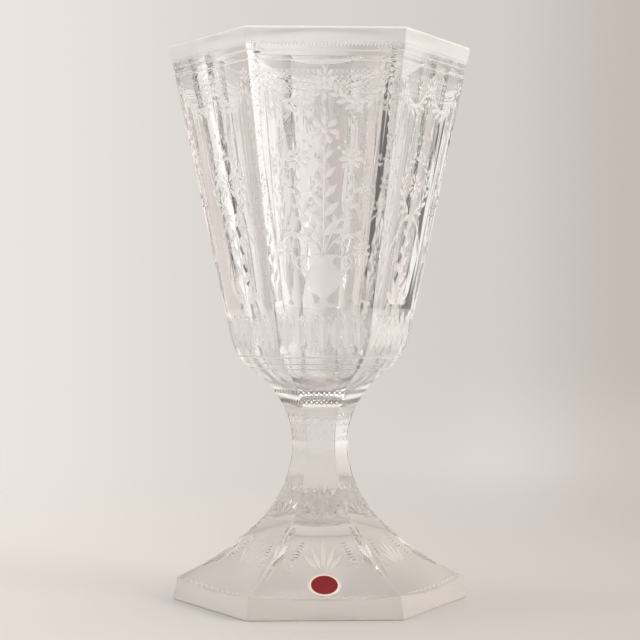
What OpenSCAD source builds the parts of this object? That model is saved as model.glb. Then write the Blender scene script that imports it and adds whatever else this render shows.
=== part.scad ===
// Six-sided cut crystal goblet: bowl, stem and foot, three pieces of glass joined hot, and a foil seal.
// Millimetres. Z is up, the table is Z = 0, one flat panel faces -Y and two corners lie on the X axis.
// A panel is drawn once as a section: half the width across the flats against height.

/* [Bowl] */
// Height of the bowl, from its joint on the stem to the rim
bowl_h = 156; // [148:1:166]
// Width across two opposite panels at the rim
rim_across = 114; // [110:0.5:120]
// Lean of a bowl panel out from upright, in degrees
panel_lean = 10.45; // [9.8:0.05:10.8]
// Radius of the shoulder, where a panel turns in under the bowl
shoulder_r = 25; // [18:0.5:28]
// Glass thickness at the middle of a panel
wall = 10.5; // [8.5:0.25:12]
// Glass between the stem joint and the bottom of the cavity
floor_t = 10; // [8:0.5:12]
// Ground bevel on both edges of the lip
lip_bevel = 0.8; // [0.4:0.1:1.2]
// Drop from the lip to the middle of the polished groove
groove_drop = 11.5; // [10:0.25:14]
// Width of the groove
groove_w = 3; // [2:0.25:4]
// Depth of the groove
groove_d = 0.4; // [0.2:0.05:0.6]

/* [Stem] */
// Height of the stem between its two joints
stem_h = 48; // [44:0.5:52]
// Width across two opposite panels at the waist
waist_across = 21.3; // [19:0.1:24]
// Height of the waist above the joint on the foot
waist_up = 32; // [29:0.5:34]
// Radius of the wheel that cuts the stem below the waist
low_wheel_r = 53; // [48:0.5:60]
// Radius of the wheel that cuts the stem above the waist and the underside of the bowl
high_wheel_r = 41; // [39:0.5:43]

/* [Foot] */
// Height of the foot, from the table to its joint on the stem
foot_h = 36; // [33:0.5:40]
// Width across two opposite panels at the table
foot_across = 110.5; // [104:0.5:118]
// Height of the upright edge at the middle of a panel
edge_h = 7.7; // [6:0.1:9.5]
// Lean of that edge in from upright, in degrees
edge_lean = 7.8; // [4:0.1:10]
// Radius of the wheel that cuts the panels of the foot
foot_wheel_r = 106; // [95:1:120]
// Radius of the rounding across that wheel, which leaves a panel hollow from corner to corner
crown_r = 283; // [230:1:360]
// Width of the polished hollow under the foot
hollow_across = 56; // [44:1:66]
// Depth of the hollow
hollow_d = 1.2; // [0.8:0.1:2]

/* [Seal] */
// Width of the round foil seal on the front panel of the foot
seal_across = 13.6; // [11:0.2:15]
// Thickness of the foil
seal_t = 0.3; // [0.2:0.05:0.5]
// Distance from the lower edge of the panel to the middle of the seal
seal_up = 9.7; // [9:0.1:12]

/* [Hidden] */
curve_fn = 180;
arc_steps = 12;
// Overlap of cutters past the faces they cut
past = 1;
// Overlap of two rounds that run into each other
lap = 0.05;

stem_z = foot_h + stem_h;
rim_z = stem_z + bowl_h;
waist_z = foot_h + waist_up;
rim_a = rim_across / 2;
waist_a = waist_across / 2;
foot_a = foot_across / 2;
glass = [0.86, 0.88, 0.88, 0.55];
foil = [0.5, 0.1, 0.13];

// Centres of the two wheels that cut the stem, and the half widths that they leave at its joints
low_c = [waist_a + low_wheel_r, waist_z];
high_c = [waist_a + high_wheel_r, waist_z];
foot_joint_a = low_c[0] - sqrt(pow(low_wheel_r, 2) - pow(waist_up, 2));
bowl_joint_a = high_c[0] - sqrt(pow(high_wheel_r, 2) - pow(stem_h - waist_up, 2));

// Bowl panel: direction up the panel, its inward normal, and a point on it at a given drop from the lip
up_panel = [sin(panel_lean), cos(panel_lean)];
in_panel = [-cos(panel_lean), sin(panel_lean)];
function panel_at(drop) = [rim_a - drop * tan(panel_lean), rim_z - drop];

// Centre of the shoulder round, which touches the panel from inside and the underside wheel from outside
shoulder_0 = panel_at(0) + shoulder_r * in_panel - high_c;
shoulder_b = shoulder_0 * up_panel;
shoulder_k = shoulder_0 * shoulder_0 - pow(high_wheel_r + shoulder_r, 2);
shoulder_s = shoulder_b - sqrt(pow(shoulder_b, 2) - shoulder_k);
shoulder_c = high_c + shoulder_0 - shoulder_s * up_panel;

// Directions from the centre of the underside wheel to the stem joint and to the shoulder
joint_dir = atan2(stem_z - high_c[1], bowl_joint_a - high_c[0]);
under_dir = atan2(shoulder_c[1] - high_c[1], shoulder_c[0] - high_c[0]);

// Groove below the lip, cut by a small wheel
groove_r = (pow(groove_w / 2, 2) + pow(groove_d, 2)) / (2 * groove_d);
groove_c = panel_at(groove_drop) - (groove_r - groove_d) * in_panel;
groove_dir = 180 - panel_lean;
groove_turn = asin(groove_w / 2 / groove_r);

// Cavity: a cone as steep as the panels, closed by a ball that touches it
cavity_z = stem_z + floor_t;
cavity_r = rim_a - wall;
ball_t = cos(panel_lean) * (cavity_r - (rim_z - cavity_z) * tan(panel_lean)) / (1 - sin(panel_lean));
ball_r = ball_t + lap;
ball_z = cavity_z + ball_r;
cone_z = ball_z - ball_t * sin(panel_lean);
cone_h = rim_z + past - cone_z;

// Foot panel: from the upright edge to the stem joint, on the wheel about foot_c
edge_top = [foot_a - edge_h * tan(edge_lean), edge_h];
foot_top = [foot_joint_a, foot_h];
foot_chord = edge_top - foot_top;
foot_out = [-foot_chord[1], foot_chord[0]] / norm(foot_chord);
foot_c = (edge_top + foot_top) / 2 + foot_out * sqrt(pow(foot_wheel_r, 2) - pow(norm(foot_chord) / 2, 2));
hollow_r = (pow(hollow_across / 2, 2) + pow(hollow_d, 2)) / (2 * hollow_d);

// Direction from the middle of the seal to the centre of the wheel, as an angle above level
seal_dir = atan2(foot_c[1] - edge_top[1], foot_c[0] - edge_top[0]) - seal_up / foot_wheel_r * 180 / PI;

// Points along an arc, from one direction to another
function arc(c, r, from, to, first = 0) = [
    for (i = [first : arc_steps])
        let (turn = from + (to - from) * i / arc_steps)
            c + r * [cos(turn), sin(turn)]
];

// Section of a bowl panel: underside, shoulder, groove and lip
bowl_half = concat(
    arc(high_c, high_wheel_r, joint_dir, under_dir),
    arc(shoulder_c, shoulder_r, under_dir - 180, -panel_lean, 1),
    arc(groove_c, groove_r, groove_dir + groove_turn, groove_dir - groove_turn),
    [panel_at(lip_bevel), [rim_a - lip_bevel, rim_z]]
);

// Whole section from its right half
function both_halves(half) = concat(half, [for (i = [len(half) - 1 : -1 : 0]) [-half[i][0], half[i][1]]]);

// Solid with six flat-sided panels from half a section
module six_panels(half) {
    intersection_for(turn = [30, 90, 150])
        rotate(turn)
            rotate([90, 0, 0])
                linear_extrude(height = 2 * rim_across, center = true)
                    polygon(both_halves(half));
}

// Copies of what is drawn on the front panel, one to each panel
module each_panel() {
    for (turn = [0 : 60 : 300])
        rotate(turn) children();
}

// Cutting wheel of radius r that lies along the front panel, with its axis at half width and height c
module wheel(c, r) {
    translate([0, -c[0], c[1]])
        rotate([0, 90, 0])
            cylinder(r = r, h = foot_across, center = true, $fn = curve_fn);
}

// Solid with six panels, turned on six sides from half a section that starts and ends level
module six_sided(half) {
    rotate_extrude($fn = 6)
        polygon(concat(
            [[0, half[0][1]]],
            [for (p = half) [p[0] / cos(30), p[1]]],
            [[0, half[len(half) - 1][1]]]
        ));
}

module bowl() {
    color(glass)
        difference() {
            six_sided(bowl_half);
            translate([0, 0, cone_z])
                cylinder(
                    r1 = ball_t * cos(panel_lean),
                    r2 = cavity_r + past * tan(panel_lean),
                    h = cone_h,
                    $fn = curve_fn
                );
            translate([0, 0, ball_z]) sphere(r = ball_r, $fn = curve_fn);
            translate([0, 0, rim_z - lip_bevel - past])
                cylinder(
                    r1 = cavity_r - past,
                    r2 = cavity_r + lip_bevel + past,
                    h = lip_bevel + 2 * past,
                    $fn = curve_fn
                );
        }
}

module stem() {
    color(glass) {
        difference() {
            translate([0, 0, foot_h]) cylinder(d = foot_across / 2, h = waist_up, $fn = curve_fn);
            each_panel() wheel(low_c, low_wheel_r);
        }
        difference() {
            translate([0, 0, waist_z]) cylinder(d = foot_across / 2, h = stem_h - waist_up, $fn = curve_fn);
            each_panel() wheel(high_c, high_wheel_r);
        }
    }
}

// Wheel of the front panel of the foot, with its rim set in by a given depth
module foot_wheel(depth = 0) {
    translate([0, -foot_c[0], foot_c[1]])
        rotate([0, 90, 0])
            rotate_extrude($fn = curve_fn)
                intersection() {
                    translate([foot_wheel_r - crown_r, 0]) circle(r = crown_r - depth, $fn = 2 * curve_fn);
                    translate([0, -foot_a]) square([foot_wheel_r, foot_across]);
                }
}

module foot() {
    color(glass)
        difference() {
            six_panels([
                [foot_a, 0],
                [foot_a - foot_h * tan(edge_lean), foot_h]
            ]);
            each_panel() foot_wheel();
            translate([0, 0, hollow_d - hollow_r]) sphere(r = hollow_r, $fn = curve_fn);
        }
}

module seal() {
    color(foil)
        intersection() {
            difference() {
                foot_wheel();
                foot_wheel(seal_t);
            }
            translate([0, -foot_c[0], foot_c[1]])
                rotate([90 - seal_dir, 0, 0])
                    translate([0, 0, -foot_wheel_r])
                        cylinder(d = seal_across, h = seal_across, center = true, $fn = curve_fn);
        }
}

bowl();
stem();
foot();
seal();
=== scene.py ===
"""Looks of a six-sided goblet of clear cut crystal: an engraved bowl, a stem, a foot and a foil seal.

Lengths are millimetres until a mesh is made, and metres on the stage. The ornament is drawn flat, on one
panel unrolled: u runs across the panel, s up along its section and n out of the glass. Each cut is a small
closed cutter, as an engraver's wheel would leave it, and a boolean takes it out of the glass.
"""

import math

import bmesh
import bpy
import numpy as np
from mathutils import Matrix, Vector


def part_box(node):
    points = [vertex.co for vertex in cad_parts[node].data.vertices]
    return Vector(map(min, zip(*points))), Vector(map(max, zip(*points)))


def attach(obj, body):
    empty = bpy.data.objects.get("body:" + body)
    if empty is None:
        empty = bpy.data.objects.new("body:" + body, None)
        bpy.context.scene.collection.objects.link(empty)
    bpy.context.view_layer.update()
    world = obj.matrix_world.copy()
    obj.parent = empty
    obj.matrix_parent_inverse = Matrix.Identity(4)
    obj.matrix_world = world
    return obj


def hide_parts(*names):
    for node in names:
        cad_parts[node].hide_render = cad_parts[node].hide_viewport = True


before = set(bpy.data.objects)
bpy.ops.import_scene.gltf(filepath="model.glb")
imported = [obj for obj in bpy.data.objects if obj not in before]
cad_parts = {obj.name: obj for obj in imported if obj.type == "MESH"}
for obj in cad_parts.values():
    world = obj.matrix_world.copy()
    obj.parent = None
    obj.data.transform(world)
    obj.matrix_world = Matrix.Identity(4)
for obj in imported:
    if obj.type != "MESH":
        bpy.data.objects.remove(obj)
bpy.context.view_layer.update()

MM = 0.001
SIDES = 6
HALF_SIDE = math.radians(180 / SIDES)

# Sizes of the solids that the frame doesn't give
LEAN = math.radians(10.45)
LIP_BEVEL = 0.8
WALL = 10.5
BOWL_FLOOR = 10.0
SHOULDER_R = 25.0
GROOVE_DROP = 11.5
GROOVE_W = 3.0
GROOVE_D = 0.4
WAIST_UP = 32.0
LOW_WHEEL_R = 53.0
HIGH_WHEEL_R = 41.0
EDGE_H = 7.7
EDGE_LEAN = math.radians(7.8)
FOOT_WHEEL_R = 106.0
CROWN_R = 283.0
HOLLOW_R = 28.0
HOLLOW_D = 1.2
SEAL_R = 6.8
SEAL_T = 0.3
SEAL_UP = 9.7

# Heights, and halves of the widths across two opposite panels, as the frame gives them
rim_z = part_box("bowl")[1].z / MM
bowl_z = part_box("bowl")[0].z / MM
foot_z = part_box("stem")[0].z / MM
rim_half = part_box("bowl")[1].y / MM + LIP_BEVEL * math.tan(LEAN)
joint_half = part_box("stem")[1].y / MM
foot_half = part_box("foot")[1].y / MM

# What grinding takes off the corners of the panels and the edge on the table
ARRIS = 0.3
BASE_BEVEL = 0.4

# Points of a ring across one side, and how far towards the corners they reach on a round ring
COLUMNS = 16
ROUND_REACH = 0.97

# Rows of points up the cavity, round its ball, up the stem, across the hollow of the foot and up its panels,
# and the points round the seal
CAVITY_ROWS = 12
BALL_ROWS = 16
STEM_ROWS = 36
HOLLOW_ROWS = 7
FOOT_ROWS = 30
SEAL_COLUMNS = 72


# Nodes and colours

# Sockets of a Mix node for colours
MIX_FACTOR, MIX_A, MIX_B, MIX_RESULT = 0, 6, 7, 2


def linear(hex_colour):
    """An sRGB colour such as "D9D2CC" as linear RGBA."""
    parts = [int(hex_colour[i : i + 2], 16) / 255 for i in (0, 2, 4)]
    return tuple(c / 12.92 if c <= 0.04045 else ((c + 0.055) / 1.055) ** 2.4 for c in parts) + (1.0,)


def add(tree, kind, inputs=None, **settings):
    """Adds a node with its settings. inputs gives a socket, by name or number, a value or a node's output."""
    node = tree.nodes.new(kind)
    for name, value in settings.items():
        setattr(node, name, value)
    for name, value in (inputs or {}).items():
        if isinstance(value, bpy.types.NodeSocket):
            tree.links.new(value, node.inputs[name])
        else:
            node.inputs[name].default_value = value
    return node


def new_material(name, surface, **finish):
    """Material with the shader that the function surface builds in its empty node tree."""
    material = bpy.data.materials.new(name)
    material.use_nodes = True
    tree = material.node_tree
    tree.nodes.clear()
    shader = surface(tree, **finish)
    add(tree, "ShaderNodeOutputMaterial", {"Surface": shader.outputs[0]})
    return material


def mm_coordinates(tree, grain=(1, 1, 1)):
    """Object coordinates in millimetres, divided by the size of a pattern's grain along each axis."""
    place = add(tree, "ShaderNodeTexCoord").outputs["Object"]
    scale = tuple(1 / MM / size for size in grain)
    return add(tree, "ShaderNodeMapping", {"Vector": place, "Scale": scale}).outputs["Vector"]


# Materials

CRYSTAL_IOR = 1.545
# Upright waves that polishing by hand leaves, and the smears on them
WAVES_MM = (14, 14, 90)
SMEARS_MM = (6, 6, 6)
# Grain of a ground surface, drawn seven times as coarse as real grit so that it shows, and its patches
GRIT_MM = (0.35, 0.35, 0.35)
PATCHES_MM = (5, 5, 5)
# How far the roughness of a ground surface strays from patch to patch
ROUGHNESS_STRAY = 0.05
# Linen grain rolled into the foil, blots in its lacquer, and the brushing of its bare metal
LINEN_PITCH_MM = 0.1428
BLOTS_MM = (2, 2, 2)
BRUSHING_MM = (0.1, 0.1, 0.6)
# A wave texture turns this many radians in one unit
WAVE_TURN = 20


def polished_crystal(tree):
    """Lead crystal, wheel cut and felt polished: clear, with the faint upright waves of hand work."""
    waves = add(tree, "ShaderNodeTexNoise",
                {"Vector": mm_coordinates(tree, WAVES_MM), "Scale": 1.0, "Detail": 1.0, "Roughness": 0.4})
    bump = add(tree, "ShaderNodeBump",
               {"Height": waves.outputs["Fac"], "Strength": 0.25, "Distance": 0.12 * MM})
    smears = add(tree, "ShaderNodeTexNoise",
                 {"Vector": mm_coordinates(tree, SMEARS_MM), "Scale": 1.0, "Detail": 3.0})
    rough = add(tree, "ShaderNodeMapRange",
                {"Value": smears.outputs["Fac"], "From Min": 0.35, "From Max": 0.75,
                 "To Min": 0.0, "To Max": 0.025})
    return add(tree, "ShaderNodeBsdfPrincipled",
               {"Base Color": linear("FFFFFF"), "IOR": CRYSTAL_IOR, "Transmission Weight": 1.0,
                "Roughness": rough.outputs["Result"], "Normal": bump.outputs["Normal"]})


def ground_crystal(tree, roughness, transmission, grain_depth, colour="FFFFFF"):
    """Crystal left matt by a stone, a copper wheel or acid: a fine grain that scatters light white."""
    grain = add(tree, "ShaderNodeTexNoise",
                {"Vector": mm_coordinates(tree, GRIT_MM), "Scale": 1.0, "Detail": 2.0})
    bump = add(tree, "ShaderNodeBump",
               {"Height": grain.outputs["Fac"], "Strength": 0.6, "Distance": grain_depth * MM})
    patches = add(tree, "ShaderNodeTexNoise",
                  {"Vector": mm_coordinates(tree, PATCHES_MM), "Scale": 1.0, "Detail": 2.0})
    rough = add(tree, "ShaderNodeMapRange",
                {"Value": patches.outputs["Fac"], "From Min": 0.3, "From Max": 0.7,
                 "To Min": roughness - ROUGHNESS_STRAY, "To Max": roughness + ROUGHNESS_STRAY})
    return add(tree, "ShaderNodeBsdfPrincipled",
               {"Base Color": linear(colour), "IOR": CRYSTAL_IOR, "Transmission Weight": transmission,
                "Roughness": rough.outputs["Result"], "Normal": bump.outputs["Normal"]})


def fused_joint(tree):
    """Where two gathers of hot glass were joined no surface is left, so light goes straight through."""
    return add(tree, "ShaderNodeBsdfPrincipled", {"Base Color": linear("FFFFFF"), "Alpha": 0.0})


def lacquered_foil(tree):
    """Thin metal foil lacquered dark red, rolled with a fine linen grain: a soft sheen, a little blotched."""
    threads = {"Vector": mm_coordinates(tree), "Distortion": 0.3,
               "Scale": math.tau / WAVE_TURN / LINEN_PITCH_MM}
    warp, weft = (add(tree, "ShaderNodeTexWave", threads, bands_direction=axis) for axis in ("X", "Z"))
    linen = add(tree, "ShaderNodeMath", {0: warp.outputs["Fac"], 1: weft.outputs["Fac"]}, operation="ADD")
    bump = add(tree, "ShaderNodeBump",
               {"Height": linen.outputs["Value"], "Strength": 0.35, "Distance": 0.02 * MM})
    blots = add(tree, "ShaderNodeTexNoise",
                {"Vector": mm_coordinates(tree, BLOTS_MM), "Scale": 1.0, "Detail": 2.0})
    colour = add(tree, "ShaderNodeMix",
                 {MIX_FACTOR: blots.outputs["Fac"], MIX_A: linear("6C0A12"), MIX_B: linear("7E141E")},
                 data_type="RGBA")
    return add(tree, "ShaderNodeBsdfPrincipled",
               {"Base Color": colour.outputs[MIX_RESULT], "Normal": bump.outputs["Normal"],
                "Metallic": 0.1, "Roughness": 0.5, "Specular IOR Level": 0.25})


def bare_foil(tree):
    """The pale metal of the foil, left bare in thin rings: finely brushed, with a dull gleam."""
    brushing = add(tree, "ShaderNodeTexNoise", {"Vector": mm_coordinates(tree, BRUSHING_MM), "Scale": 1.0})
    rough = add(tree, "ShaderNodeMapRange", {"Value": brushing.outputs["Fac"], "To Min": 0.3, "To Max": 0.5})
    return add(tree, "ShaderNodeBsdfPrincipled",
               {"Base Color": linear("E6DDD4"), "Metallic": 0.5, "Roughness": rough.outputs["Result"]})


CLEAR, MATT, FROST, SATIN, EDGE, HAZE, GREY_SHADE, JOINT, RED, PALE = range(10)
materials = [
    new_material("polished_lead_crystal", polished_crystal),
    # Engraving and the band at the lip: bright and white
    new_material("copper_wheel_engraved_crystal", ground_crystal,
                 roughness=0.55, transmission=0.55, grain_depth=0.04),
    # Underside of the foot: milky, so that the foot looks filled with light
    new_material("stone_ground_crystal", ground_crystal,
                 roughness=0.6, transmission=0.1, grain_depth=0.02, colour="EAE7E4"),
    # Panels of the foot, lower stem and lip: almost clear, but blurs what lies behind
    new_material("satin_polished_crystal", ground_crystal,
                 roughness=0.1, transmission=0.94, grain_depth=0.004),
    # Upright edge of the foot and top of the stem: translucent, like paraffin wax
    new_material("acid_frosted_crystal", ground_crystal,
                 roughness=0.45, transmission=0.8, grain_depth=0.01, colour="FFFDFB"),
    # Shoulder of the bowl: a thin white haze
    new_material("fine_etched_crystal", ground_crystal,
                 roughness=0.1, transmission=0.8, grain_depth=0.004),
    # Hatched rings under the bowl: cut and not polished, and painted grey as painted shade for the dark
    # facets of the hatching
    new_material("unpolished_cut_crystal_painted_shade", ground_crystal,
                 roughness=0.5, transmission=0.5, grain_depth=0.01, colour="8C8782"),
    new_material("hot_joined_crystal", fused_joint),
    new_material("red_lacquered_foil", lacquered_foil),
    new_material("bare_pale_foil", bare_foil),
]


# Panels

# Distance below the stem joint over which the hollow across a foot panel fades out
CROWN_FADE = 8.0
# Drop from the rim over which a bowl panel is drawn straight, and the points on it
STRAIGHT_DROP = 100.0
STRAIGHT_POINTS = 50


class Panel:
    """One side of the glass, unrolled: u across, s up along its section from 0, n out of the glass."""

    def __init__(self, section, crown_r=None):
        self.a, self.z = np.array(section).T
        self.s = np.concatenate([[0], np.cumsum(np.hypot(np.diff(self.a), np.diff(self.z)))])
        self.out = np.gradient(self.z, self.s), -np.gradient(self.a, self.s)
        self.top = self.s[-1]
        self.crown_r = crown_r

    def up(self, z):
        """Distance s of a height z."""
        return float(np.interp(z, self.z, self.s))

    def half(self, s):
        """Half the width of the flat panel at s."""
        return float(np.interp(s, self.s, self.a)) * math.tan(HALF_SIDE)

    def crown(self, u, s):
        """How far the panel rises from its middle towards its corners, fading out at the top joint."""
        if not self.crown_r:
            return np.zeros(np.shape(u))
        fade = np.clip((self.top - s) / CROWN_FADE, 0, 1)
        return (self.crown_r - np.sqrt(self.crown_r**2 - u**2)) * fade

    def section(self, u, s, n):
        """Half width and height of points of the panel."""
        n = n + self.crown(u, s)
        a = np.interp(s, self.s, self.a) + n * np.interp(s, self.s, self.out[0])
        z = np.interp(s, self.s, self.z) + n * np.interp(s, self.s, self.out[1])
        return a, z

    def place(self, points, turn=0):
        """Points given as u, s, n on one panel, at their place on the goblet."""
        u, s, n = np.asarray(points, float).reshape(-1, 3).T
        a, z = self.section(u, s, n)
        return turned(u, -a, z, turn)


def turned(x, y, z, turn):
    """Points turned about the axis by whole sides."""
    angle = turn * 2 * HALF_SIDE
    cos, sin = math.cos(angle), math.sin(angle)
    return np.stack([x * cos - y * sin, x * sin + y * cos, z], 1)


def arc(centre, radius, start, end, steps):
    """Points on an arc between two directions, in radians."""
    turns = np.linspace(start, end, steps + 1)
    return [(centre[0] + radius * math.cos(t), centre[1] + radius * math.sin(t)) for t in turns]


waist_z = foot_z + WAIST_UP
waist_half = joint_half - LOW_WHEEL_R + math.sqrt(LOW_WHEEL_R**2 - WAIST_UP**2)
low_c = np.array([waist_half + LOW_WHEEL_R, waist_z])
high_c = np.array([waist_half + HIGH_WHEEL_R, waist_z])
bowl_joint_dir = math.pi - math.asin((bowl_z - waist_z) / HIGH_WHEEL_R)
up_panel = np.array([math.sin(LEAN), math.cos(LEAN)])
in_panel = np.array([-math.cos(LEAN), math.sin(LEAN)])

# Centre of the shoulder round: it touches the leaning panel from inside and the underside wheel from outside
shoulder_0 = np.array([rim_half, rim_z]) + SHOULDER_R * in_panel - high_c
shoulder_b = shoulder_0 @ up_panel
shoulder_k = shoulder_0 @ shoulder_0 - (HIGH_WHEEL_R + SHOULDER_R) ** 2
shoulder_c = high_c + shoulder_0 - (shoulder_b - math.sqrt(shoulder_b**2 - shoulder_k)) * up_panel
under_dir = math.atan2(*(shoulder_c - high_c)[::-1])

bowl_panel = Panel(
    arc(high_c, HIGH_WHEEL_R, bowl_joint_dir, under_dir, steps=40)
    + arc(shoulder_c, SHOULDER_R, under_dir - math.pi, -LEAN, steps=40)[1:]
    + [(rim_half - drop * math.tan(LEAN), rim_z - drop)
       for drop in np.linspace(STRAIGHT_DROP, LIP_BEVEL, STRAIGHT_POINTS)]
)
stem_panel = Panel(
    arc(low_c, LOW_WHEEL_R, math.pi + math.asin(WAIST_UP / LOW_WHEEL_R), math.pi, steps=24)
    + arc(high_c, HIGH_WHEEL_R, math.pi, bowl_joint_dir, steps=16)[1:]
)
edge_top = np.array([foot_half - EDGE_H * math.tan(EDGE_LEAN), EDGE_H])
foot_top = np.array([joint_half, foot_z])
foot_chord = edge_top - foot_top
foot_out = np.array([-foot_chord[1], foot_chord[0]]) / np.hypot(*foot_chord)
foot_c = (edge_top + foot_top) / 2 + foot_out * math.sqrt(FOOT_WHEEL_R**2 - foot_chord @ foot_chord / 4)
edge_dir = math.atan2(*(edge_top - foot_c)[::-1])
top_dir = math.atan2(*(foot_top - foot_c)[::-1])
foot_panel = Panel(arc(foot_c, FOOT_WHEEL_R, edge_dir, top_dir, steps=80), CROWN_R)


# Glass bodies, stacked from rings of points


def hex_ring(a, z):
    """Ring of points round six sides at one height, with the corners ground off by the arris."""
    u = np.linspace(-1, 1, COLUMNS) * (a * math.tan(HALF_SIDE) - ARRIS)
    side = u, np.full(COLUMNS, -a), np.full(COLUMNS, z)
    return np.concatenate([turned(*side, k) for k in range(SIDES)])


def round_ring(r, z):
    """Ring of points round a circle, in about the same directions as those of a six-sided ring."""
    angle = np.arctan(np.linspace(-1, 1, COLUMNS) * math.tan(HALF_SIDE) * ROUND_REACH)
    side = r * np.sin(angle), -r * np.cos(angle), np.full(COLUMNS, z)
    return np.concatenate([turned(*side, k) for k in range(SIDES)])


def stack(name, rings, bands, first, last):
    """Closed mesh of rings. bands gives the material of each strip; first and last close the ends, with
    the material of a flat cap, or a height on the axis for a round end."""
    bm = bmesh.new()
    levels = [[bm.verts.new(p * MM) for p in ring] for ring in rings]
    count = len(rings[0])
    for low, high, band in zip(levels, levels[1:], bands):
        for j in range(count):
            k = (j + 1) % count
            bm.faces.new((low[j], low[k], high[k], high[j])).material_index = band
    for level, end, band, flip in ((levels[0], first, bands[0], True), (levels[-1], last, bands[-1], False)):
        if isinstance(end, float):
            tip = bm.verts.new((0, 0, end * MM))
            for j in range(count):
                pair = (level[j], level[(j + 1) % count])
                bm.faces.new((*(pair[::-1] if flip else pair), tip)).material_index = band
        else:
            bm.faces.new(level[::-1] if flip else level).material_index = end
    mesh = bpy.data.meshes.new(name)
    bm.to_mesh(mesh)
    bm.free()
    return new_piece(name, mesh)


def new_piece(name, mesh):
    """Object for a mesh, with all the materials in their slots."""
    for material in materials:
        mesh.materials.append(material)
    piece = bpy.data.objects.new(name, mesh)
    bpy.context.scene.collection.objects.link(piece)
    return piece


def row(panel, s, n=0.0):
    """Six-sided ring at a distance s up a panel, set out by n."""
    a, z = panel.section(np.zeros(1), np.array([s]), np.array([n]))
    return hex_ring(a[0], z[0])


# Heights above the table: hatched rings under the bowl, engraved lines with half their widths, the etched
# band, the frosted top of the stem, the lower edge of the bead row, and the matt band at the lip above it
HATCH_HEIGHTS = (86.2, 90.4)
LINES = {100.5: 0.3, 102.7: 0.3, 105.6: 0.4, 226.6: 0.25, 230.4: 0.25, 233.2: 0.25}
ETCHED_BAND = (84.5, 126.0)
STEM_COLLAR = 79.0
BAND_LOW = 230.6
LIP_BAND = 233.6

# Depth of an engraved line, as a share of half its width
LINE_SLOPE = 0.5
# Height up to which the bowl curves, the distance between its rows there, the room that a line needs, and
# the rows of the groove
CURVED_TOP = 114.5
ROW_PITCH = 1.5
LINE_ROOM = 0.8
GROOVE_ROWS = 9


def bowl_rows():
    """Rows of the bowl's outside as (s, n, material above): curves, engraved lines, groove and lip band."""
    up = bowl_panel.up
    rows = {s: 0.0 for s in np.arange(0, up(CURVED_TOP), ROW_PITCH)}
    lines = {}
    for z, half in LINES.items():
        s = up(z)
        rows = {k: n for k, n in rows.items() if abs(k - s) > LINE_ROOM}
        rows.update({s - half: 0.0, s: -half * LINE_SLOPE, s + half: 0.0})
        lines.update({s - half: MATT, s: MATT})
    groove_r = ((GROOVE_W / 2) ** 2 + GROOVE_D**2) / (2 * GROOVE_D)
    for x in np.linspace(-GROOVE_W / 2, GROOVE_W / 2, GROOVE_ROWS):
        depth = math.sqrt(groove_r**2 - x**2) - groove_r + GROOVE_D
        rows[up(rim_z - GROOVE_DROP) + x] = -depth
    rows.update({up(LIP_BAND): 0.0, bowl_panel.top: 0.0})
    lines.update({up(LIP_BAND): MATT, bowl_panel.top: MATT})
    etched_low, etched_high = (up(z) for z in ETCHED_BAND)
    rows.update({etched_low: 0.0, etched_high: 0.0})

    def finish(s):
        return lines.get(s, HAZE if etched_low <= s < etched_high else CLEAR)

    return [(s, rows[s], finish(s)) for s in sorted(rows)]


def make_bowl():
    """Bowl with six panels outside and a round cavity."""
    rows = bowl_rows()
    rings = [row(bowl_panel, s, n) for s, n, _ in rows]
    bands = [band for _, _, band in rows]
    cavity_r = rim_half - WALL
    rings += [hex_ring(rim_half - LIP_BEVEL, rim_z), round_ring(cavity_r + LIP_BEVEL, rim_z)]
    bands += [SATIN, CLEAR]
    floor_z = bowl_z + BOWL_FLOOR
    ball_r = math.cos(LEAN) * (cavity_r - (rim_z - floor_z) * math.tan(LEAN)) / (1 - math.sin(LEAN))
    ball_z = floor_z + ball_r
    for z in np.linspace(rim_z - LIP_BEVEL, ball_z - ball_r * math.sin(LEAN), CAVITY_ROWS):
        rings.append(round_ring(cavity_r - (rim_z - z) * math.tan(LEAN), z))
        bands.append(CLEAR)
    for t in np.linspace(LEAN, math.pi / 2, BALL_ROWS)[1:-1]:
        rings.append(round_ring(ball_r * math.cos(t), ball_z - ball_r * math.sin(t)))
        bands.append(CLEAR)
    return stack("bowl_glass", rings, bands, JOINT, floor_z)


def make_stem():
    """Stem with six hollow panels between its two joints, frosted at the top."""
    levels = np.linspace(0, stem_panel.top, STEM_ROWS)
    bands = [SATIN if s < stem_panel.up(STEM_COLLAR) else EDGE for s in levels]
    return stack("stem_glass", [row(stem_panel, s) for s in levels], bands, JOINT, JOINT)


# Rounds in which the width of a foot row and its height at the corners are found, each from the other
CORNER_ROUNDS = 8


def foot_row(q):
    """Ring of the foot at a share q of the way up its panels, from the edge to the stem joint."""
    lean = math.tan(EDGE_LEAN)
    reach = (foot_c[0] + lean * foot_c[1] - foot_half) / math.hypot(1, lean)

    def at(u):
        """Distance s of the row at u, bent like the edge where the crowned wheel meets the upright face."""
        wheel_r = FOOT_WHEEL_R - CROWN_R + np.sqrt(CROWN_R**2 - u**2)
        edge_s = (math.acos(reach / FOOT_WHEEL_R) - np.arccos(reach / wheel_r)) * FOOT_WHEEL_R
        return edge_s + q * (foot_panel.top - edge_s)

    w = np.array([foot_panel.half(q * foot_panel.top)])
    for _ in range(CORNER_ROUNDS):
        w = foot_panel.section(w, at(w), 0.0)[0] * math.tan(HALF_SIDE) - ARRIS
    u = np.linspace(-1, 1, COLUMNS) * w
    points = np.stack([u, at(u), np.zeros(COLUMNS)], 1)
    return np.concatenate([foot_panel.place(points, k) for k in range(SIDES)])


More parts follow.
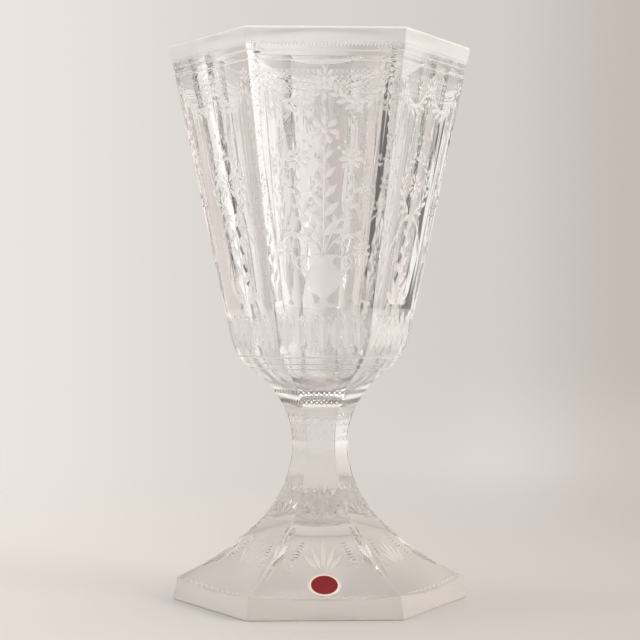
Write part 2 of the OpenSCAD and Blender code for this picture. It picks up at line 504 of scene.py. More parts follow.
def make_foot():
    """Foot with a ground hollow underneath, an upright frosted edge and six hollow panels."""
    ball_r = (HOLLOW_R**2 + HOLLOW_D**2) / (2 * HOLLOW_D)
    hollow = np.linspace(0, HOLLOW_R, HOLLOW_ROWS)[1:]
    rings = [round_ring(r, HOLLOW_D - ball_r + math.sqrt(ball_r**2 - r**2)) for r in hollow]
    bands = [FROST] * len(rings)
    rings += [hex_ring(foot_half - BASE_BEVEL, 0.0), hex_ring(foot_half, BASE_BEVEL)]
    bands += [FROST, EDGE]
    rings += [foot_row(q) for q in np.linspace(0, 1, FOOT_ROWS)]
    bands += [SATIN] * FOOT_ROWS
    return stack("foot_glass", rings, bands, HOLLOW_D, JOINT)


# Cutters

# How far a cutter stands out of the glass, its least half width, and the room between cutters of one batch
RISE = 0.15
LEAST_HALF = 0.02
BATCH_ROOM = 0.05
# Cross-sections: shares of half the width, and of the depth
V_CUT = ((-1, 0), (0, -1), (1, 0))
ROUND_CUT = ((-1, 0), (-0.62, -0.62), (0, -1), (0.62, -0.62), (1, 0))
# Power below 1 that fills out the sides of a leaf
LEAF_FULLNESS = 0.8


def furrow(path, half_widths, slope, profile=V_CUT):
    """Closed cutter along a path of (u, s) points: at each point a cross-section of that half width, slope
    times as deep, whose sides go on to a little above the glass. Returns its points and faces."""
    path = np.asarray(path, float)
    along = np.gradient(path, axis=0)
    along /= np.hypot(*along.T)[:, None]
    side = np.stack([along[:, 1], -along[:, 0]], 1)
    spread = RISE * (1 + profile[1][0]) / (-profile[1][1] * slope)
    count = len(profile)
    points = []
    for p, across, half in zip(path, side, half_widths):
        half = max(half, LEAST_HALF)
        for i, (x, depth) in enumerate(profile):
            top = i in (0, count - 1)
            reach = x * half + (math.copysign(spread, x) if top else 0)
            points.append((*(p + across * reach), RISE if top else depth * half * slope))
    faces = [tuple(range(count - 1, -1, -1)), tuple(range(len(points) - count, len(points)))]
    for i in range(len(path) - 1):
        for j in range(count):
            k = (j + 1) % count
            faces.append((i * count + j, i * count + k, (i + 1) * count + k, (i + 1) * count + j))
    return np.array(points), faces


def leaf(length, width, slope=0.2, full=0.45, steps=7, profile=V_CUT):
    """Pointed leaf that grows from the origin along +u, widest at a share full of its length."""
    t = np.linspace(0, 1, steps)
    shape = np.where(t < full, np.sin(t / full * math.pi / 2), np.cos((t - full) / (1 - full) * math.pi / 2))
    half_widths = width / 2 * np.abs(shape) ** LEAF_FULLNESS
    return furrow(np.stack([t * length, 0 * t], 1), half_widths, slope, profile)


def dot(radius, slope=0.35, steps=7):
    """Round hollow, such as a berry or a bead."""
    t = np.linspace(-1, 1, steps)
    return furrow(np.stack([t * radius, 0 * t], 1), radius * np.sqrt(1 - t**2), slope, ROUND_CUT)


def stroke(path, width, slope=0.4, taper=0.25):
    """Engraved line of a width along a path, thinner at its ends."""
    t = np.linspace(0, 1, len(path))
    return furrow(path, width / 2 * (taper + (1 - taper) * np.sin(t * math.pi) ** 0.5), slope)


def curve(points, steps=16):
    """Smooth path drawn by a few control points, as a Bezier curve of their degree."""
    t = np.linspace(0, 1, steps)[:, None]
    level = [np.repeat(p[None], steps, 0) for p in np.asarray(points, float)]
    while len(level) > 1:
        level = [a + (b - a) * t for a, b in zip(level, level[1:])]
    return level[0]


class Pattern:
    """Cutters laid out on one panel, with the material that each leaves."""

    def __init__(self):
        self.cuts = []

    def put(self, cutter, at=(0, 0), angle=0.0, size=1.0, finish=MATT):
        """Adds a cutter, turned by an angle in degrees and moved to (u, s)."""
        points, faces = cutter
        c, s = math.cos(math.radians(angle)), math.sin(math.radians(angle))
        u, v, n = points.T
        moved = np.stack([at[0] + size * (u * c - v * s), at[1] + size * (u * s + v * c), n * size], 1)
        self.cuts.append((moved, faces, finish))

    def put_both(self, cutter, at=(0, 0), angle=0.0, size=1.0, finish=MATT):
        """Adds a cutter and its mirror image about the middle of the panel."""
        self.put(cutter, at, angle, size, finish)
        points, faces, _ = self.cuts[-1]
        self.cuts.append((points * (-1, 1, 1), [face[::-1] for face in faces], finish))

    def rosette(self, at, petals, petal, eye, mirror=False):
        """Flower of petals round a berry."""
        put = self.put_both if mirror else self.put
        step = eye * 1.15
        for i in range(petals):
            turn = 90 + 360 * i / petals
            out = math.cos(math.radians(turn)), math.sin(math.radians(turn))
            put(petal, (at[0] + step * out[0], at[1] + step * out[1]), turn)
        put(dot(eye), at)

    def along(self, path, cutter, mirror=False, finish=MATT, **inputs):
        """Repeats a cutter along a path with Geometry Nodes."""
        for points in cuts_along(path, cutter, finish, **inputs):
            self.cuts.append((points, cutter[1], finish))
            if mirror:
                self.cuts.append((points * (-1, 1, 1), [face[::-1] for face in cutter[1]], finish))

    def batches(self):
        """The cuts in groups whose members don't touch, so that a boolean can take out a group at once."""
        groups = []
        for points, faces, finish in self.cuts:
            low, high = points.min(0)[:2] - BATCH_ROOM, points.max(0)[:2] + BATCH_ROOM
            for boxes, members in groups:
                if not any((low < b).all() and (a < high).all() for a, b in boxes):
                    break
            else:
                boxes, members = [], []
                groups.append((boxes, members))
            boxes.append((low, high))
            members.append((points, faces, finish))
        return [members for _, members in groups]


def plain_object(name, points, edges, faces):
    """Object of a mesh given by lists, linked to the scene."""
    mesh = bpy.data.meshes.new(name)
    mesh.from_pydata([tuple(map(float, p)) for p in points], edges, faces)
    piece = bpy.data.objects.new(name, mesh)
    bpy.context.scene.collection.objects.link(piece)
    return piece


def evaluated_mesh(piece):
    """Plain mesh of an object with its modifiers."""
    return bpy.data.meshes.new_from_object(piece.evaluated_get(bpy.context.evaluated_depsgraph_get()))


def repeat_tree():
    """Geometry Nodes: a cutter at every pitch along a path, leaning alternately to its left and right. Its
    size goes from a start to an end and swells between them."""
    tree = bpy.data.node_groups.new("cuts_along_path", "GeometryNodeTree")
    sockets = tree.interface
    sockets.new_socket("Geometry", in_out="INPUT", socket_type="NodeSocketGeometry")
    sockets.new_socket("Cutter", in_out="INPUT", socket_type="NodeSocketObject")
    for name in ("Pitch", "Lean", "Cross", "Start Size", "End Size", "Swell"):
        sockets.new_socket(name, in_out="INPUT", socket_type="NodeSocketFloat")
    sockets.new_socket("Material", in_out="INPUT", socket_type="NodeSocketMaterial")
    sockets.new_socket("Geometry", in_out="OUTPUT", socket_type="NodeSocketGeometry")
    given = add(tree, "NodeGroupInput").outputs

    path = add(tree, "GeometryNodeMeshToCurve", {"Mesh": given["Geometry"]})
    stations = add(tree, "GeometryNodeResampleCurve",
                   {"Curve": path.outputs["Curve"], "Length": given["Pitch"]}, mode="LENGTH")
    tangent = add(tree, "GeometryNodeInputTangent")
    ahead = add(tree, "FunctionNodeAlignRotationToVector", {"Vector": tangent.outputs["Tangent"]},
                axis="X", pivot_axis="Z")

    # The side is -1 at even stations and 1 at odd ones
    index = add(tree, "GeometryNodeInputIndex")
    odd = add(tree, "ShaderNodeMath", {0: index.outputs["Index"], 1: 2}, operation="MODULO")
    side = add(tree, "ShaderNodeMath", {0: odd.outputs["Value"], 1: 2, 2: -1}, operation="MULTIPLY_ADD")
    angle = add(tree, "ShaderNodeMath", {0: side.outputs["Value"], 1: given["Lean"], 2: given["Cross"]},
                operation="MULTIPLY_ADD")
    lean = add(tree, "FunctionNodeAxisAngleToRotation", {"Axis": (0, 0, 1), "Angle": angle.outputs["Value"]})
    rotation = add(tree, "FunctionNodeRotateRotation",
                   {"Rotation": ahead.outputs["Rotation"], "Rotate By": lean.outputs["Rotation"]},
                   rotation_space="LOCAL")

    share = add(tree, "GeometryNodeSplineParameter").outputs["Factor"]
    grade = add(tree, "ShaderNodeMapRange",
                {"Value": share, "To Min": given["Start Size"], "To Max": given["End Size"]})
    half_turn = add(tree, "ShaderNodeMath", {0: share, 1: math.pi}, operation="MULTIPLY")
    bulge = add(tree, "ShaderNodeMath", {0: half_turn.outputs["Value"]}, operation="SINE")
    size = add(tree, "ShaderNodeMath",
               {0: given["Swell"], 1: bulge.outputs["Value"], 2: grade.outputs["Result"]},
               operation="MULTIPLY_ADD")

    cutter = add(tree, "GeometryNodeObjectInfo", {"Object": given["Cutter"]})
    copies = add(tree, "GeometryNodeInstanceOnPoints",
                 {"Points": stations.outputs["Curve"], "Instance": cutter.outputs["Geometry"],
                  "Rotation": rotation.outputs["Rotation"], "Scale": size.outputs["Value"]})
    real = add(tree, "GeometryNodeRealizeInstances", {"Geometry": copies.outputs["Instances"]})
    finish = add(tree, "GeometryNodeSetMaterial",
                 {"Geometry": real.outputs["Geometry"], "Material": given["Material"]})
    add(tree, "NodeGroupOutput", {"Geometry": finish.outputs["Geometry"]})
    return tree


REPEAT = repeat_tree()


def cuts_along(path, cutter, finish, pitch, lean=0.0, cross=0.0, start=1.0, end=1.0, swell=0.0):
    """Point arrays of a cutter repeated along a path. Angles are in degrees."""
    guide = plain_object("path", [(u, s, 0) for u, s in path], [(i, i + 1) for i in range(len(path) - 1)], [])
    template = plain_object("cutter", cutter[0], [], cutter[1])
    modifier = guide.modifiers.new("cuts", "NODES")
    modifier.node_group = REPEAT
    values = {"Cutter": template, "Pitch": pitch, "Lean": math.radians(lean), "Cross": math.radians(cross),
              "Start Size": start, "End Size": end, "Swell": swell, "Material": materials[finish]}
    for item in REPEAT.interface.items_tree:
        if item.in_out == "INPUT" and item.name in values:
            modifier[item.identifier] = values[item.name]
    mesh = evaluated_mesh(guide)
    points = np.empty(len(mesh.vertices) * 3)
    mesh.vertices.foreach_get("co", points)
    for used in (mesh, guide.data, template.data):
        bpy.data.meshes.remove(used)
    return points.reshape(-1, len(cutter[0]), 3)


# Distance below which two points of a mesh are one
HAIR = 0.0005 * MM


def shells(bm):
    """Groups of points that edges join, the largest last."""
    left = set(bm.verts)
    groups = []
    while left:
        todo = [left.pop()]
        groups.append([])
        while todo:
            point = todo.pop()
            groups[-1].append(point)
            fresh = left.intersection(edge.other_vert(point) for edge in point.link_edges)
            left -= fresh
            todo += fresh
    return sorted(groups, key=len)


def tidy_cuts(mesh):
    """Leaves one shell of triangles: points closer than a hair are merged, and with them the faces without
    area that cuts leave, and loose chips go."""
    bm = bmesh.new()
    bm.from_mesh(mesh)
    bmesh.ops.triangulate(bm, faces=bm.faces)
    bmesh.ops.remove_doubles(bm, verts=bm.verts, dist=HAIR)
    bmesh.ops.dissolve_degenerate(bm, edges=bm.edges, dist=HAIR)
    chips = [point for shell in shells(bm)[:-1] for point in shell]
    bmesh.ops.delete(bm, geom=chips, context="VERTS")
    bm.to_mesh(mesh)
    bm.free()


def engrave(body, panel, layouts):
    """Takes patterns out of a body. layouts pairs each pattern with the sides that carry it."""
    cutters = []
    batches = [(members, sides) for pattern, sides in layouts for members in pattern.batches()]
    for members, sides in batches:
        bm = bmesh.new()
        for side in sides:
            for points, faces, finish in members:
                verts = [bm.verts.new(p * MM) for p in panel.place(points, side)]
                for face in faces:
                    bm.faces.new([verts[i] for i in face]).material_index = finish
        bmesh.ops.recalc_face_normals(bm, faces=bm.faces)
        bmesh.ops.triangulate(bm, faces=bm.faces)
        mesh = bpy.data.meshes.new("cutters")
        bm.to_mesh(mesh)
        bm.free()
        cutters.append(new_piece("cutters", mesh))
        cut = body.modifiers.new("engraving", "BOOLEAN")
        cut.operation = "DIFFERENCE"
        cut.solver = "MANIFOLD"
        cut.object = cutters[-1]
    mesh = evaluated_mesh(body)
    tidy_cuts(mesh)
    body.modifiers.clear()
    old, body.data = body.data, mesh
    for used in [old] + [cutter.data for cutter in cutters]:
        bpy.data.meshes.remove(used)


# Ornament: u and lengths in millimetres, and z the height above the table

# Share of its length by which a crossed stroke starts before its station, so that a row is centred
HATCH_BACK = 0.35
# Festoon of half a panel: its reach, the height of its ends, and four times how far it hangs
SWAG_REACH = 26.5
SWAG_Z = 220
SWAG_BOW = 44
# Trellis inside the festoon: how far it keeps above the leaves, and its least drop
TRELLIS_ABOVE = 2.6
TRELLIS_DROP = 4.0
LANCETS = 7
# Urn: outline as height and half width, bends of its handles, and two stems as control points
URN_OUTLINE = ((126.8, 4.6), (128.0, 4.8), (128.6, 2.0), (130.2, 1.4), (131.8, 2.6), (134.5, 5.6), (138, 7.4),
               (141, 7.2), (143.5, 5.4), (145, 3.9), (146.4, 3.7), (147.6, 5.2), (148.6, 5.4))
URN_HANDLES = (6.2, 9.4)
URN_STEMS = (((0.6, 149.5), (4, 166), (15, 164), (11.5, 183)),
             ((1.4, 149.5), (5, 158), (16, 160), (15.5, 152)))
URN_BERRIES = ((6.0, 192), (8.6, 194.5), (5.4, 196), (17.5, 172), (18.4, 175.5), (16.2, 177))
WREATH_RIBBON = ((1.0, 163), (10, 168), (8, 152), (16, 156), (15, 146))
WREATH_BERRIES = ((2.0, 196), (4.5, 199), (0, 198.5))


def hatch(pattern, s, start, end, pitch, length, width=0.42, slope=0.6, mirror=False, finish=MATT):
    """Row of crossed strokes, centred on the line s."""
    back = length * HATCH_BACK
    for cross in (45, -45):
        low = s - length / 2 * math.sin(math.radians(cross))
        pattern.along([(start - back, low), (end - back, low)], leaf(length, width, slope, steps=3),
                      mirror=mirror, finish=finish, pitch=pitch, cross=cross)


def bowl_border(pattern):
    """What every bowl panel has: beads, laurel festoons with rosettes, a leaf border and hatched rings."""
    up = bowl_panel.up
    bead_s = up((BAND_LOW + LIP_BAND) / 2)
    reach = bowl_panel.half(bead_s) - 1.6
    pattern.along([(-reach, bead_s), (reach, bead_s)], leaf(2.4, 0.9, slope=0.5), pitch=1.5, cross=60)

    t = np.linspace(0.05, 0.95, 24)
    swag = np.stack([SWAG_REACH * (1 - t), up(SWAG_Z) - SWAG_BOW * t * (1 - t)], 1)
    pattern.along(swag, leaf(4.3, 1.7), mirror=True, pitch=1.75, lean=33, start=0.75, end=0.75, swell=0.4)
    for z in np.arange(214.2, 224, 2.0):
        drop = max(SWAG_Z + TRELLIS_ABOVE - z, TRELLIS_DROP)
        inner = 0.5 - math.sqrt(max(0.25 - drop / SWAG_BOW, 0))
        hatch(pattern, up(z), SWAG_REACH * inner, SWAG_REACH * (1 - inner),
              pitch=2.1, length=2.8, width=0.55, mirror=True)
    pattern.rosette((0, up(219.5)), petals=8, petal=leaf(3.4, 1.7, full=0.65), eye=1.1)
    pattern.rosette((27, up(221)), petals=6, petal=leaf(2.2, 1.4, full=0.6), eye=0.8, mirror=True)
    pattern.along([(27, up(216.5)), (25.6, up(193))], leaf(3.6, 1.6, full=0.6), mirror=True,
                  pitch=4.3, end=0.5)
    pattern.along([(0, up(214)), (0, up(208))], leaf(3.4, 2.0, full=0.6), pitch=3.4, end=0.7)

    low = up(108.5)
    width = bowl_panel.half(low) - 0.6
    for i in range(LANCETS):
        u = (2 * i + 1 - LANCETS) * width / LANCETS
        pattern.put(leaf(15.0, 4.4, slope=0.22, steps=9), (u, low), angle=90)
        if i:
            between = u - width / LANCETS
            pattern.put(dot(0.8), (between, up(122.5)))
            pattern.put(leaf(6.0, 1.2), (between, up(115)), angle=90)
    # The hatched rings take the grey material: painted shade for their dark facets
    for z in HATCH_HEIGHTS:
        half = bowl_panel.half(up(z)) - 1.2
        hatch(pattern, up(z), -half, half, pitch=2.0, length=4.4, width=0.75, finish=GREY_SHADE)


def urn_panel():
    """Bowl panel with an urn of flowers."""
    pattern = Pattern()
    bowl_border(pattern)
    up = bowl_panel.up
    outline = [(0, up(z)) for z, _ in URN_OUTLINE]
    pattern.put(furrow(outline, [half for _, half in URN_OUTLINE], slope=0.14, profile=ROUND_CUT))
    for bend in URN_HANDLES:
        handle = curve([(6.8, up(141)), (bend + 5.5, up(144)), (bend + 2, up(150)), (5.4, up(147))])
        pattern.put_both(stroke(handle, width=0.9))
    pattern.put(stroke([(0, up(z)) for z in np.linspace(149.5, 195, 12)], width=1.0))
    pattern.along([(0, up(156)), (0, up(191))], leaf(9.0, 3.0), pitch=3.9, lean=42, start=1.1, end=0.55)
    pattern.rosette((0, up(199)), petals=7, petal=leaf(4.6, 2.5, full=0.65), eye=1.5)
    for stem, length, petals in zip(URN_STEMS, (5.6, 4.4), (8, 6)):
        path = curve([(u, up(z)) for u, z in stem])
        pattern.put_both(stroke(path, width=0.8))
        pattern.along(path[3:-2], leaf(length, length * 0.38), mirror=True, pitch=2.9, lean=44, end=0.7)
        flower = path[-1] + (path[-1] - path[-2]) * 1.2
        petal = leaf(length * 0.66, length * 0.36, full=0.65)
        pattern.rosette(flower, petals, petal, eye=length * 0.22, mirror=True)
    for u, z in URN_BERRIES:
        pattern.put_both(dot(0.9), (u, up(z)))
    return pattern


def wreath_panel():
    """Bowl panel with a laurel wreath on a leafy staff."""
    pattern = Pattern()
    bowl_border(pattern)
    up = bowl_panel.up
    pattern.put(stroke([(0, up(z)) for z in np.linspace(127, 162, 10)], width=1.1))
    pattern.along([(0, up(136)), (0, up(160))], leaf(8.0, 2.8), pitch=3.6, lean=40, end=0.6)
    for length, angle in ((11.0, 28), (13.0, 62)):
        pattern.put_both(leaf(length, 3.6), (1.0, up(128)), angle)
    middle = up(178)
    t = np.radians(np.linspace(-84, 84, 26))
    half_wreath = np.stack([11.5 * np.cos(t), middle + 12.5 * np.sin(t)], 1)
    pattern.along(half_wreath, leaf(4.8, 1.9), mirror=True, pitch=2.1, lean=36, end=0.75)
    pattern.rosette((0, middle), petals=10, petal=leaf(4.6, 1.7, full=0.65), eye=1.5)
    for u, z in WREATH_BERRIES:
        pattern.put_both(dot(0.9), (u, up(z)))
    ribbon = curve([(u, up(z)) for u, z in WREATH_RIBBON], steps=20)
    pattern.put_both(stroke(ribbon, width=1.2))
    return pattern


def stem_pattern(trellis):
    """Stem panel with leaves near the foot and, if asked for, a trellis above the waist."""
    pattern = Pattern()
    up = stem_panel.up
    blade = leaf(8.5, 2.4, slope=0.5, steps=9, profile=ROUND_CUT)
    for u, angle in ((1.2, 76), (4.2, 58)):
        pattern.put_both(blade, (u, up(38)), angle, finish=CLEAR)
    for z in np.arange(70, 82, 3.4) if trellis else ():
        s = up(z)
        half = stem_panel.half(s) - 1.6
        hatch(pattern, s, -half, half, pitch=2 * half / 3, length=4.4, finish=CLEAR)
    return pattern


def foot_pattern():
    """Foot panel with lens cuts, notches and a feather of leaves beside its edges, a slender palmette and a
    waved line below."""
    pattern = Pattern()
    half = foot_panel.half
    lens = leaf(19, 4.6, slope=0.8, full=0.5, steps=9, profile=ROUND_CUT)
    pattern.put_both(lens, (half(18) - 7.5, 28), angle=-62, finish=CLEAR)
    pattern.put_both(lens, (half(34) - 4.4, 41), angle=-66, size=0.6, finish=CLEAR)
    notch = leaf(3.2, 0.9, slope=0.8, steps=3)
    for s in np.arange(19, 33, 1.5):
        pattern.put_both(notch, (half(s) - 9.6, s), angle=10, finish=CLEAR)
    palmette_s = SEAL_UP + SEAL_R + 2.5
    for lean in (-34, -16, 0, 16, 34):
        blade = leaf(17 - abs(lean) / 5, 2.0, slope=0.18)
        pattern.put(blade, (lean * 0.08, palmette_s), angle=90 - lean, size=0.9, finish=EDGE)
    pattern.along([(half(24) - 2.6, 24), (half(37) - 2.6, 37)], leaf(4.6, 1.2), mirror=True,
                  pitch=1.9, cross=-150, start=1.1, end=0.7)
    u = np.linspace(-26, 26, 79)
    wave = np.stack([u, 2.2 + 0.5 * np.sin(u * 1.4)], 1)
    pattern.put(stroke(wave, width=0.5), finish=EDGE)
    return pattern


# Seal: reach of each ring as a share of its radius, its level as a share of the foil's thickness, and the
# finish of the strip from it to the next ring, and the levels of the middle of its top and underside
SEAL_RINGS = ((0.45, 0.72, RED), (0.8, 0.7, RED), (0.815, 0.95, PALE), (0.83, 0.7, PALE), (0.94, 0.72, RED),
              (0.95, 1.0, PALE), (0.985, 1.0, PALE), (1.0, 0.75, PALE), (1.0, 0.02, PALE), (0.5, 0.02, RED))
SEAL_TIPS = (0.7, 0.02)


def make_seal():
    """Round foil seal that lies on the front panel of the foot, with two raised rings."""
    around = np.linspace(0, 2 * math.pi, SEAL_COLUMNS + 1)[:-1]
    bm = bmesh.new()

    def level(r, n):
        u, s = SEAL_R * r * np.cos(around), SEAL_UP + SEAL_R * r * np.sin(around)
        points = np.stack([u, s, np.full(SEAL_COLUMNS, n * SEAL_T)], 1)
        return [bm.verts.new(p * MM) for p in foot_panel.place(points)]

    levels = [level(r, n) for r, n, _ in SEAL_RINGS]
    top, bottom = (bm.verts.new(foot_panel.place([(0, SEAL_UP, n * SEAL_T)])[0] * MM) for n in SEAL_TIPS)
    for j in range(SEAL_COLUMNS):
        k = (j + 1) % SEAL_COLUMNS
        bm.faces.new((top, levels[0][j], levels[0][k])).material_index = RED
        bm.faces.new((bottom, levels[-1][k], levels[-1][j])).material_index = RED
        for inner, outer, (_, _, finish) in zip(levels, levels[1:], SEAL_RINGS):
            bm.faces.new((inner[j], outer[j], outer[k], inner[k])).material_index = finish
    mesh = bpy.data.meshes.new("seal_foil")
    bm.to_mesh(mesh)
    bm.free()
    return new_piece("seal_foil", mesh)


# Pieces

# Edges that turn by more than this look sharp
SHARP = math.radians(14)

bowl = make_bowl()
stem = make_stem()
foot = make_foot()
engrave(bowl, bowl_panel, [(urn_panel(), (0, 2, 4)), (wreath_panel(), (1, 3, 5))])
engrave(stem, stem_panel, [(stem_pattern(False), (0, 2, 4)), (stem_pattern(True), (1, 3, 5))])
engrave(foot, foot_panel, [(foot_pattern(), range(SIDES))])
seal = make_seal()

for piece, node, slot in (
    (bowl, "bowl", "crystal"),
    (stem, "stem", "crystal"),
    (foot, "foot", "crystal"),
    (seal, "seal", "foil"),
):
    for polygon in piece.data.polygons:
        polygon.use_smooth = True
    piece.data.set_sharp_from_angle(angle=SHARP)
    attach(piece, "root")
    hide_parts(node)


# Stage, in metres

# Floor: radius, distances between which it fades out, half the width over which its colour darkens to the
# right as painted shade, and its drop below the foot
FLOOR_R = 1.2
FLOOR_FADE = (0.12, 0.7)
FLOOR_SHADE_CHANGE = 0.2
FLOOR_SINK = 0.02 * MM

# Colours of the backdrop at shares of the way from left to right, and half the width of that way
BACKDROP = ((0.2, "EAE5E0"), (0.55, "DCD5CF"), (0.75, "D5CECA"), (0.95, "C4BBB4"))
BACKDROP_CHANGE = 0.25

# Brightness of the studio: each row changes smoothly from a first to a last value while what it reads, an
# axis of the direction or two rows multiplied, goes from a start to an end
CEILING_AXIS = (0.3, 0.0, 0.954)
STUDIO = (
    ("behind_camera", "Y", 0.3, -0.6, 0.0, 1.0),
    ("above_table", "Z", -0.05, 0.15, 0.0, 1.0),
    ("dim_room", ("behind_camera", "above_table"), 0.0, 1.0, 1.0, 0.4),
    ("to_the_right", "X", 0.0, 0.2, 0.0, 1.0),
    ("below_eye_level", "Z", -0.01, -0.1, 0.0, 1.0),
    ("lit_sweep", ("to_the_right", "below_eye_level"), 0.0, 1.0, 1.0, 1.12),
    ("left_wall", "X", -0.3, -0.8, 1.0, 1.3),
    ("right_wall", "X", 0.3, 0.8, 1.0, 1.25),
    ("ceiling", "overhead", 0.45, 0.95, 1.0, 3.6),
)
STUDIO_PARTS = ("dim_room", "left_wall", "right_wall", "ceiling", "lit_sweep")

# Dark flags: direction and reach of each, the share of its reach that is fully dark, and how bright that is
FLAGS = (((0.985, 0.12, -0.12), 0.16), ((-0.52, 0.81, 0.28), 0.11), ((-0.61, 0.75, 0.26), 0.05))
FLAG_CORE = 0.6
FLAG_SHADE = 0.15

# Camera: a little left of the middle of the front panel, level with the middle of the goblet
CAMERA_AZIMUTH = math.radians(-2.26)
CAMERA_DISTANCE = 0.750
CAMERA_HEIGHT = 0.126
CAMERA_PITCH = math.radians(0.363)
CAMERA_LENS = 96.86
CAMERA_SENSOR = 36

# Light goes through many walls of glass before it reaches the eye
BOUNCES = 24


def pale_paper_painted_shade(tree):
    """Uncoated paper: matt, a little greyer on the right as painted shade, and clear where it fades into the
    backdrop.
    """
    place = add(tree, "ShaderNodeTexCoord").outputs["Object"]
    away = add(tree, "ShaderNodeVectorMath", {0: place}, operation="LENGTH")
    fade = add(tree, "ShaderNodeMapRange",
               {"Value": away.outputs["Value"], "From Min": FLOOR_FADE[0], "From Max": FLOOR_FADE[1]},
               interpolation_type="SMOOTHSTEP")
    axes = add(tree, "ShaderNodeSeparateXYZ", {"Vector": place})
    # Painted shade: the paper's colour darkens from left to right
    across = add(tree, "ShaderNodeMapRange",
                 {"Value": axes.outputs["X"], "From Min": -FLOOR_SHADE_CHANGE, "From Max": FLOOR_SHADE_CHANGE})
    colour = add(tree, "ShaderNodeMix",
                 {MIX_FACTOR: across.outputs["Result"], MIX_A: linear("C7C5C4"), MIX_B: linear("A3A1A0")},
                 data_type="RGBA")
    paper = add(tree, "ShaderNodeBsdfPrincipled",
                {"Base Color": colour.outputs[MIX_RESULT], "Roughness": 0.75})
    clear = add(tree, "ShaderNodeBsdfTransparent")
    return add(tree, "ShaderNodeMixShader",
               {"Fac": fade.outputs["Result"], 1: paper.outputs["BSDF"], 2: clear.outputs["BSDF"]})


def make_floor():
    """Round paper sweep under the goblet."""
    bm = bmesh.new()
    bmesh.ops.create_circle(bm, cap_ends=True, segments=96, radius=FLOOR_R)
    mesh = bpy.data.meshes.new("floor")
    bm.to_mesh(mesh)
    bm.free()
    mesh.materials.append(new_material("pale_paper_painted_shade", pale_paper_painted_shade))
    floor = bpy.data.objects.new("floor", mesh)
    floor.location.z = -FLOOR_SINK
    bpy.context.scene.collection.objects.link(floor)


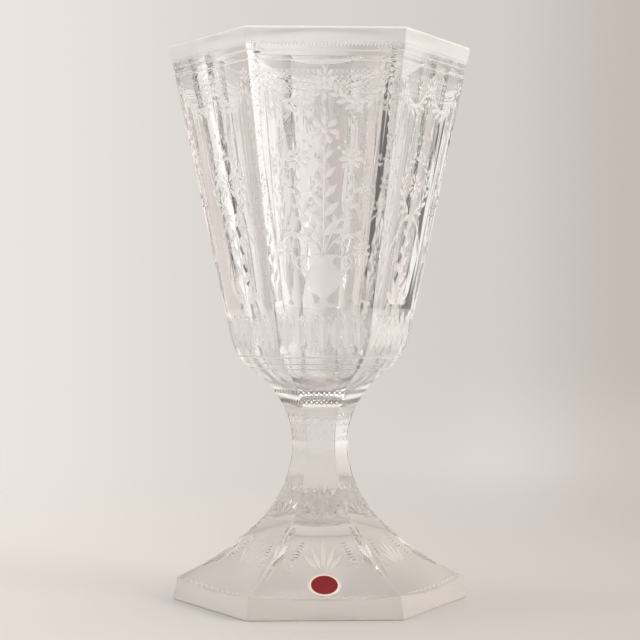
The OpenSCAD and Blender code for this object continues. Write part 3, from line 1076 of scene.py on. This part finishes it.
def make_backdrop():
    """Studio all round: lighter on the left of the picture and greyer on the right, with a bright ceiling
    and a dim room behind the camera. Small dark flags stand outside the picture, to the right and at the
    back on the left. Only the glass sees them, and shows them as dark lines."""
    world = bpy.data.worlds.new("studio")
    world.use_nodes = True
    tree = world.node_tree
    tree.nodes.clear()
    direction = add(tree, "ShaderNodeTexCoord").outputs["Generated"]
    axes = add(tree, "ShaderNodeSeparateXYZ", {"Vector": direction})
    overhead = add(tree, "ShaderNodeVectorMath", {0: direction, 1: CEILING_AXIS}, operation="DOT_PRODUCT")

    across = add(tree, "ShaderNodeMapRange",
                 {"Value": axes.outputs["X"], "From Min": -BACKDROP_CHANGE, "From Max": BACKDROP_CHANGE})
    colours = add(tree, "ShaderNodeValToRGB", {"Fac": across.outputs["Result"]})
    ramp = colours.color_ramp
    ramp.interpolation = "EASE"
    ramp.elements.remove(ramp.elements[1])
    for i, (position, colour) in enumerate(BACKDROP):
        stop = ramp.elements.new(position) if i else ramp.elements[0]
        stop.position = position
        stop.color = linear(colour)

    values = {axis: axes.outputs[axis] for axis in "XYZ"}
    values["overhead"] = overhead.outputs["Value"]
    for name, source, start, end, first, last in STUDIO:
        if isinstance(source, tuple):
            pair = add(tree, "ShaderNodeMath", {i: values[part] for i, part in enumerate(source)},
                       operation="MULTIPLY")
            values[source] = pair.outputs["Value"]
        change = add(tree, "ShaderNodeMapRange",
                     {"Value": values[source], "From Min": start, "From Max": end,
                      "To Min": first, "To Max": last}, interpolation_type="SMOOTHSTEP")
        values[name] = change.outputs["Result"]
    factors = [values[name] for name in STUDIO_PARTS]

    seen_straight = add(tree, "ShaderNodeLightPath").outputs["Is Camera Ray"]
    for middle, reach in FLAGS:
        off = add(tree, "ShaderNodeVectorMath", {0: direction, 1: middle}, operation="DISTANCE")
        shade = add(tree, "ShaderNodeMapRange",
                    {"Value": off.outputs["Value"], "From Min": reach * FLAG_CORE, "From Max": reach,
                     "To Min": FLAG_SHADE, "To Max": 1.0}, interpolation_type="SMOOTHSTEP")
        unseen = add(tree, "ShaderNodeMath", {0: shade.outputs["Result"], 1: seen_straight},
                     operation="MAXIMUM")
        factors.append(unseen.outputs["Value"])

    strength = factors[0]
    for factor in factors[1:]:
        product = add(tree, "ShaderNodeMath", {0: strength, 1: factor}, operation="MULTIPLY")
        strength = product.outputs["Value"]
    light = add(tree, "ShaderNodeBackground", {"Color": colours.outputs["Color"], "Strength": strength})
    output = add(tree, "ShaderNodeOutputWorld", {"Surface": light.outputs["Background"]})
    output.is_active_output = True
    bpy.context.scene.world = world


def softbox(name, place, aim, size, power, in_glass):
    """Soft rectangular lamp at a place, turned to a point. The glass may show it, or only be lit by it."""
    lamp = bpy.data.lights.new(name, "AREA")
    lamp.shape = "RECTANGLE"
    lamp.size, lamp.size_y = size
    lamp.energy = power
    lamp.color = linear("FFFAF5")[:3]
    holder = bpy.data.objects.new(name, lamp)
    holder.location = place
    holder.visible_transmission = in_glass
    holder.visible_glossy = in_glass
    holder.rotation_euler = (Vector(aim) - Vector(place)).to_track_quat("-Z", "Y").to_euler()
    bpy.context.scene.collection.objects.link(holder)


def make_camera():
    """Long lens at the photograph's viewing angle."""
    camera = bpy.data.cameras.new("camera")
    camera.sensor_width = CAMERA_SENSOR
    camera.lens = CAMERA_LENS
    holder = bpy.data.objects.new("camera", camera)
    to_side, to_front = CAMERA_DISTANCE * math.sin(CAMERA_AZIMUTH), CAMERA_DISTANCE * math.cos(CAMERA_AZIMUTH)
    holder.location = (to_side, -to_front, CAMERA_HEIGHT)
    holder.rotation_euler = (math.pi / 2 - CAMERA_PITCH, 0, CAMERA_AZIMUTH)
    bpy.context.scene.collection.objects.link(holder)
    bpy.context.scene.camera = holder


make_floor()
make_backdrop()
softbox("left_softbox", (-1.2, 0.1, 0.4), (0, 0, 0.05), size=(0.25, 0.25), power=2.4, in_glass=True)
softbox("right_softbox", (1.1, -0.6, 0.6), (0, 0, 0.12), size=(0.7, 1.0), power=11.5, in_glass=False)
softbox("front_softbox", (0.2, -1.0, 1.3), (0, 0, 0.1), size=(0.8, 0.6), power=1.5, in_glass=False)
make_camera()
bpy.context.scene.view_settings.view_transform = "Standard"
cycles = bpy.context.scene.cycles
cycles.max_bounces = BOUNCES
cycles.transmission_bounces = BOUNCES
cycles.transparent_max_bounces = BOUNCES
